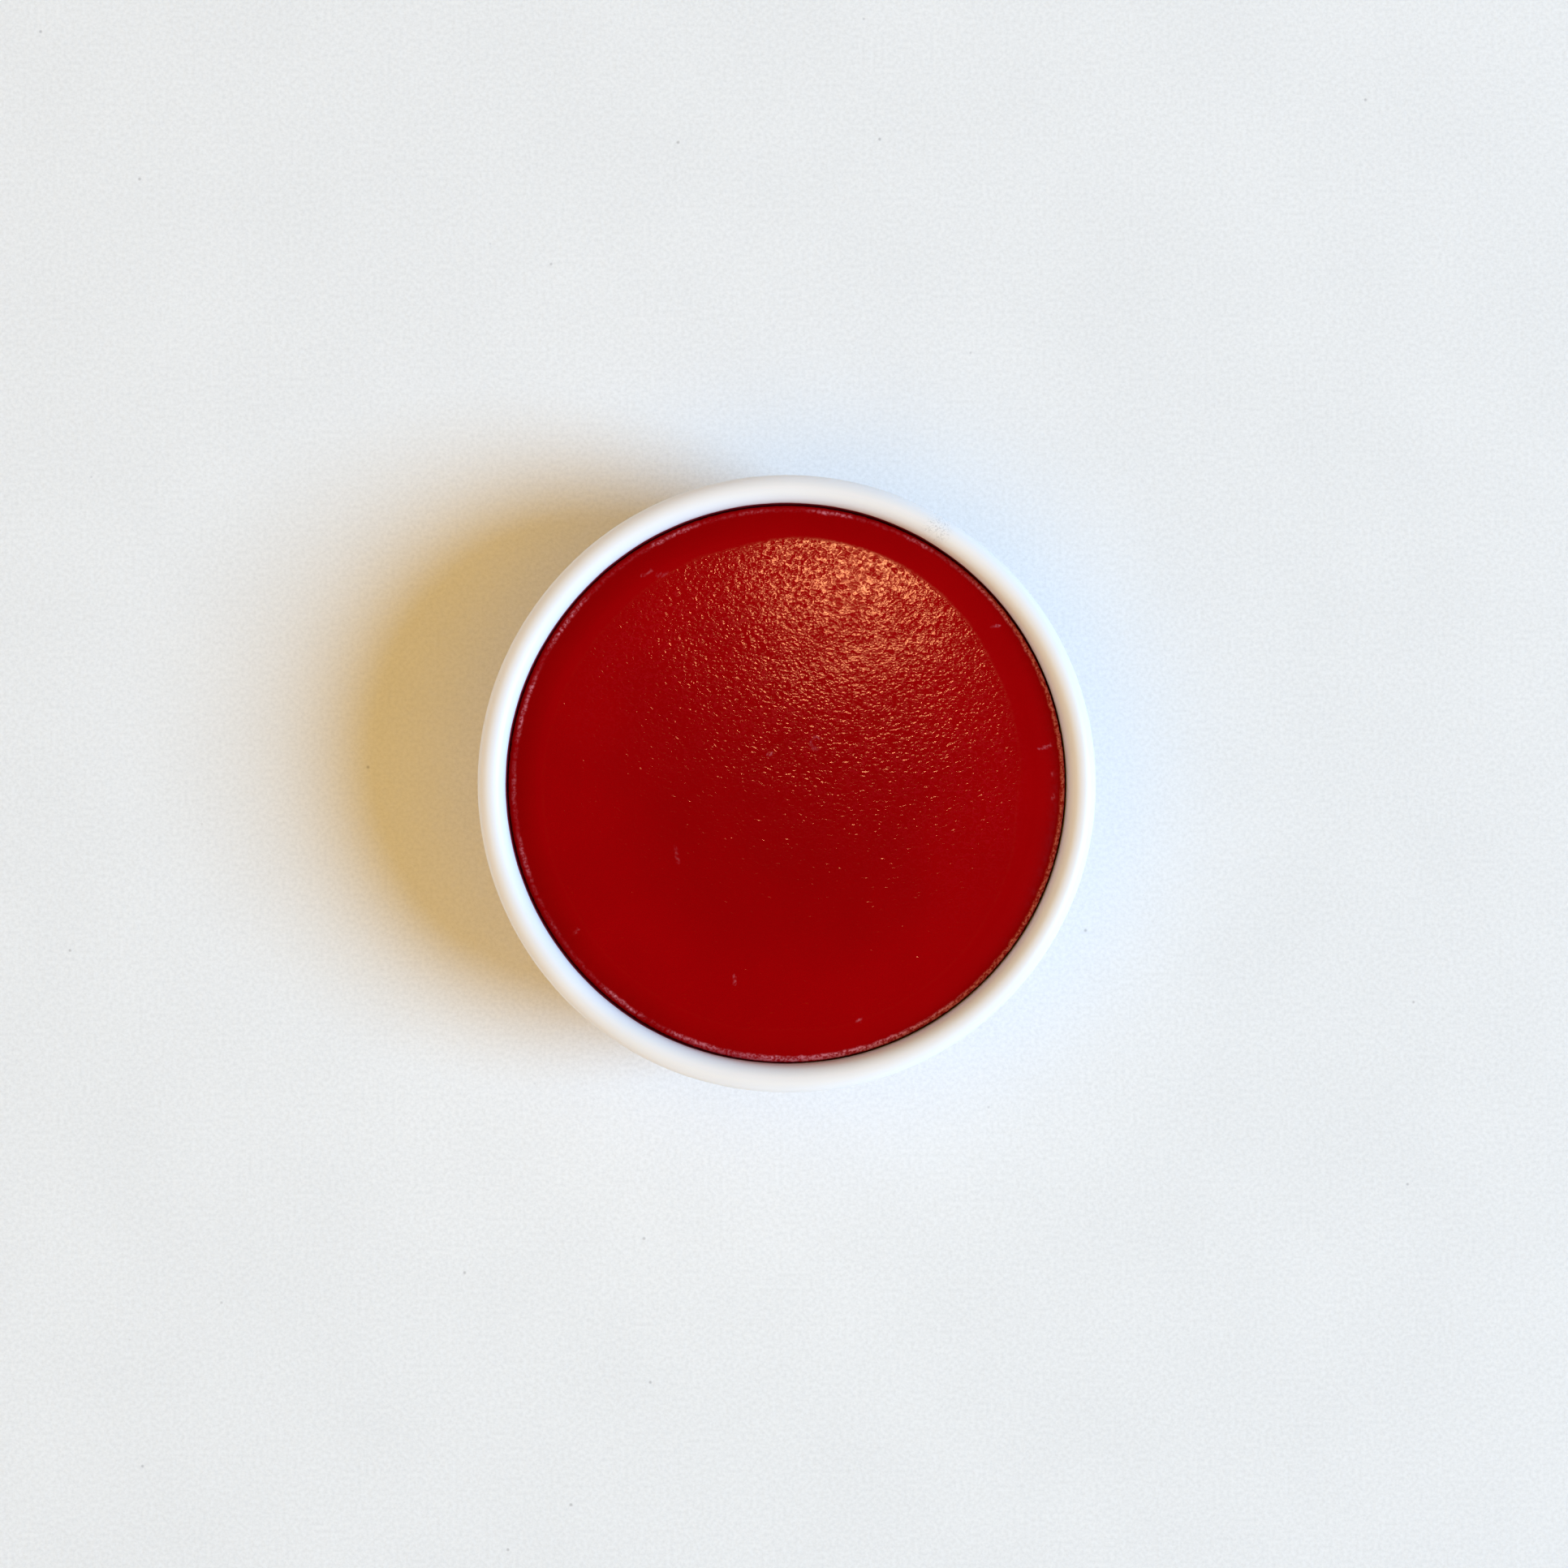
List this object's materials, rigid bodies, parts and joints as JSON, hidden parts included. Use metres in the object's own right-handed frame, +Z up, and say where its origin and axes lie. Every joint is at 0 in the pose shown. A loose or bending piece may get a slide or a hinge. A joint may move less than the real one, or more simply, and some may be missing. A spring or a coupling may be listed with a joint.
{
  "type": "paint pan",
  "caption": "Shallow round lidless white paint pan, taken as porcelain, with a full-round lip and a guessed foot ring, filled with a dried cake of red paint that is taken to lift out.",
  "frame": {"origin": "centre of the base, on the plane that the foot ring stands on", "axes": "+Z up through the centre of the dish; the shape is round about it, so X and Y are free"},
  "size_m": [0.057, 0.057, 0.016],
  "materials": {
    "porcelain": "satin",
    "dried_paint": "satin",
    "label_paper": "matte"
  },
  "bodies": {
    "dish": {"dish": "porcelain", "base_label": "label_paper"},
    "cake": {"paint_cake": "dried_paint"}
  },
  "joints": [
    {"name": "cake_lift", "type": "slide", "parent": "dish", "child": "cake", "axis": [0, 0, 1], "range_m": [0, 0.02]}
  ]
}
